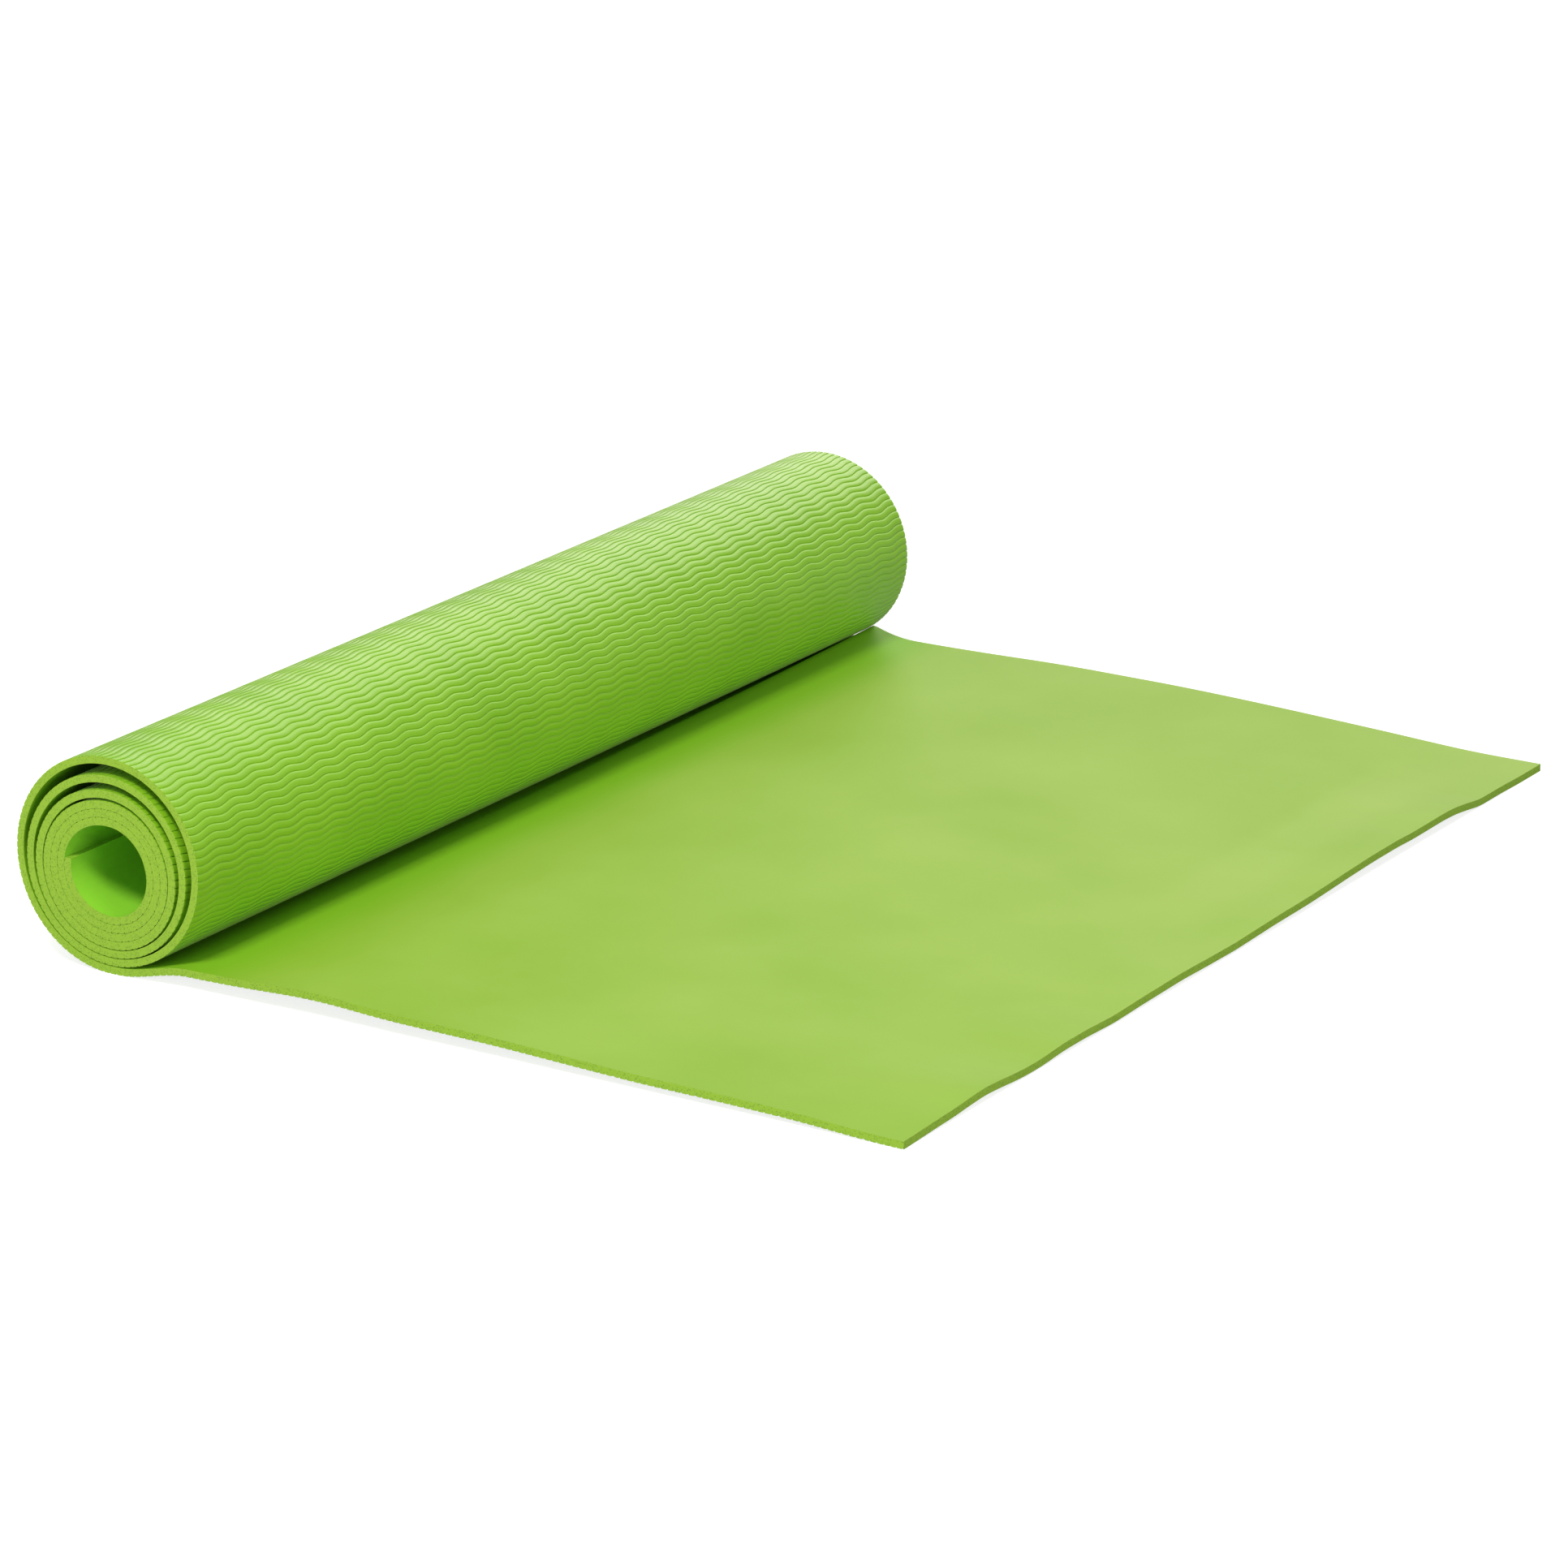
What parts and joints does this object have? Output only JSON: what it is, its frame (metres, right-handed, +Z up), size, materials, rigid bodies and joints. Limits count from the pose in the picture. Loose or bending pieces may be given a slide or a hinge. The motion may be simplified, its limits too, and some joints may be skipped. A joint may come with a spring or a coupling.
{
  "type": "yoga mat",
  "caption": "Foam yoga mat, part unrolled: a smooth flat stretch on the floor runs into a wound roll with a wavy ribbed outside. The roll opens further and the free end lifts.",
  "frame": {"origin": "on the floor, under the middle of the whole mat's bounding box", "axes": "+Z up; +Y across the mat, along the roll; +X from the roll to the free end"},
  "size_m": [0.4495, 0.61, 0.099],
  "materials": {
    "smooth_face": "matt closed-skin foam, finely satin",
    "ribbed_base": "matt foam, moulded in fine wavy ribs",
    "scrim": "open knitted polyester"
  },
  "bodies": {
    "laid_sheet": {"laid_sheet_ribbed_base": "ribbed_base", "laid_sheet_scrim": "scrim", "laid_sheet_smooth_face": "smooth_face", "lead_in_ribbed_base": "ribbed_base", "lead_in_scrim": "scrim", "lead_in_smooth_face": "smooth_face"},
    "outer_turn_01": {"outer_turn_01_ribbed_base": "ribbed_base", "outer_turn_01_scrim": "scrim", "outer_turn_01_smooth_face": "smooth_face"},
    "outer_turn_02": {"outer_turn_02_ribbed_base": "ribbed_base", "outer_turn_02_scrim": "scrim", "outer_turn_02_smooth_face": "smooth_face"},
    "outer_turn_03": {"outer_turn_03_ribbed_base": "ribbed_base", "outer_turn_03_scrim": "scrim", "outer_turn_03_smooth_face": "smooth_face"},
    "outer_turn_04": {"outer_turn_04_ribbed_base": "ribbed_base", "outer_turn_04_scrim": "scrim", "outer_turn_04_smooth_face": "smooth_face"},
    "outer_turn_05": {"outer_turn_05_ribbed_base": "ribbed_base", "outer_turn_05_scrim": "scrim", "outer_turn_05_smooth_face": "smooth_face"},
    "outer_turn_06": {"outer_turn_06_ribbed_base": "ribbed_base", "outer_turn_06_scrim": "scrim", "outer_turn_06_smooth_face": "smooth_face"},
    "outer_turn_07": {"outer_turn_07_ribbed_base": "ribbed_base", "outer_turn_07_scrim": "scrim", "outer_turn_07_smooth_face": "smooth_face"},
    "outer_turn_08": {"outer_turn_08_ribbed_base": "ribbed_base", "outer_turn_08_scrim": "scrim", "outer_turn_08_smooth_face": "smooth_face"},
    "outer_turn_09": {"outer_turn_09_ribbed_base": "ribbed_base", "outer_turn_09_scrim": "scrim", "outer_turn_09_smooth_face": "smooth_face"},
    "outer_turn_10": {"outer_turn_10_ribbed_base": "ribbed_base", "outer_turn_10_scrim": "scrim", "outer_turn_10_smooth_face": "smooth_face"},
    "outer_turn_11": {"outer_turn_11_ribbed_base": "ribbed_base", "outer_turn_11_scrim": "scrim", "outer_turn_11_smooth_face": "smooth_face"},
    "rolled_core": {"rolled_core_ribbed_base": "ribbed_base", "rolled_core_scrim": "scrim", "rolled_core_smooth_face": "smooth_face"},
    "free_end_1": {"free_end_1_ribbed_base": "ribbed_base", "free_end_1_scrim": "scrim", "free_end_1_smooth_face": "smooth_face"},
    "free_end_2": {"free_end_2_ribbed_base": "ribbed_base", "free_end_2_scrim": "scrim", "free_end_2_smooth_face": "smooth_face"},
    "free_end_3": {"free_end_3_ribbed_base": "ribbed_base", "free_end_3_scrim": "scrim", "free_end_3_smooth_face": "smooth_face"}
  },
  "joints": [
    {"name": "unroll", "type": "hinge", "parent": "laid_sheet", "child": "outer_turn_01", "pos_m": [-0.18826, 0, 0.00187], "axis": [0, -1, 0], "range_deg": [0, 30.68]},
    {"name": "unroll_bend_02", "type": "hinge", "parent": "outer_turn_01", "child": "outer_turn_02", "pos_m": [-0.21059, 0, 0.01512], "axis": [0, -1, 0], "range_deg": [0, 30.03]},
    {"name": "unroll_bend_03", "type": "hinge", "parent": "outer_turn_02", "child": "outer_turn_03", "pos_m": [-0.22322, 0, 0.03761], "axis": [0, -1, 0], "range_deg": [0, 30.03]},
    {"name": "unroll_bend_04", "type": "hinge", "parent": "outer_turn_03", "child": "outer_turn_04", "pos_m": [-0.22292, 0, 0.06324], "axis": [0, -1, 0], "range_deg": [0, 30.03]},
    {"name": "unroll_bend_05", "type": "hinge", "parent": "outer_turn_04", "child": "outer_turn_05", "pos_m": [-0.20992, 0, 0.08514], "axis": [0, -1, 0], "range_deg": [0, 30.03]},
    {"name": "unroll_bend_06", "type": "hinge", "parent": "outer_turn_05", "child": "outer_turn_06", "pos_m": [-0.18785, 0, 0.09753], "axis": [0, -1, 0], "range_deg": [0, 30.03]},
    {"name": "unroll_bend_07", "type": "hinge", "parent": "outer_turn_06", "child": "outer_turn_07", "pos_m": [-0.16271, 0, 0.09723], "axis": [0, -1, 0], "range_deg": [0, 30.03]},
    {"name": "unroll_bend_08", "type": "hinge", "parent": "outer_turn_07", "child": "outer_turn_08", "pos_m": [-0.14124, 0, 0.08447], "axis": [0, -1, 0], "range_deg": [0, 30.03]},
    {"name": "unroll_bend_09", "type": "hinge", "parent": "outer_turn_08", "child": "outer_turn_09", "pos_m": [-0.12909, 0, 0.06283], "axis": [0, -1, 0], "range_deg": [0, 30.03]},
    {"name": "unroll_bend_10", "type": "hinge", "parent": "outer_turn_09", "child": "outer_turn_10", "pos_m": [-0.1294, 0, 0.03818], "axis": [0, -1, 0], "range_deg": [0, 30.03]},
    {"name": "unroll_bend_11", "type": "hinge", "parent": "outer_turn_10", "child": "outer_turn_11", "pos_m": [-0.14191, 0, 0.01713], "axis": [0, -1, 0], "range_deg": [0, 30.03]},
    {"name": "unroll_bend_12", "type": "hinge", "parent": "outer_turn_11", "child": "rolled_core", "pos_m": [-0.16313, 0, 0.00526], "axis": [0, -1, 0], "range_deg": [0, 29.24]},
    {"name": "end_lift", "type": "hinge", "parent": "laid_sheet", "child": "free_end_1", "pos_m": [0.10476, 0, 0.0035], "axis": [0, -1, 0], "range_deg": [0, 40]},
    {"name": "end_lift_bend_2", "type": "hinge", "parent": "free_end_1", "child": "free_end_2", "pos_m": [0.14476, 0, 0.0035], "axis": [0, -1, 0], "range_deg": [0, 40]},
    {"name": "end_lift_bend_3", "type": "hinge", "parent": "free_end_2", "child": "free_end_3", "pos_m": [0.18476, 0, 0.0035], "axis": [0, -1, 0], "range_deg": [0, 40]}
  ],
  "couplings": [
    {"joint": "unroll_bend_02", "follows": "unroll", "ratio": 0.97833},
    {"joint": "unroll_bend_03", "follows": "unroll", "ratio": 0.97833},
    {"joint": "unroll_bend_04", "follows": "unroll", "ratio": 0.97833},
    {"joint": "unroll_bend_05", "follows": "unroll", "ratio": 0.97833},
    {"joint": "unroll_bend_06", "follows": "unroll", "ratio": 0.97833},
    {"joint": "unroll_bend_07", "follows": "unroll", "ratio": 0.97833},
    {"joint": "unroll_bend_08", "follows": "unroll", "ratio": 0.97833},
    {"joint": "unroll_bend_09", "follows": "unroll", "ratio": 0.97833},
    {"joint": "unroll_bend_10", "follows": "unroll", "ratio": 0.97833},
    {"joint": "unroll_bend_11", "follows": "unroll", "ratio": 0.97833},
    {"joint": "unroll_bend_12", "follows": "unroll", "ratio": 0.95262},
    {"joint": "end_lift_bend_2", "follows": "end_lift", "ratio": 1},
    {"joint": "end_lift_bend_3", "follows": "end_lift", "ratio": 1}
  ]
}
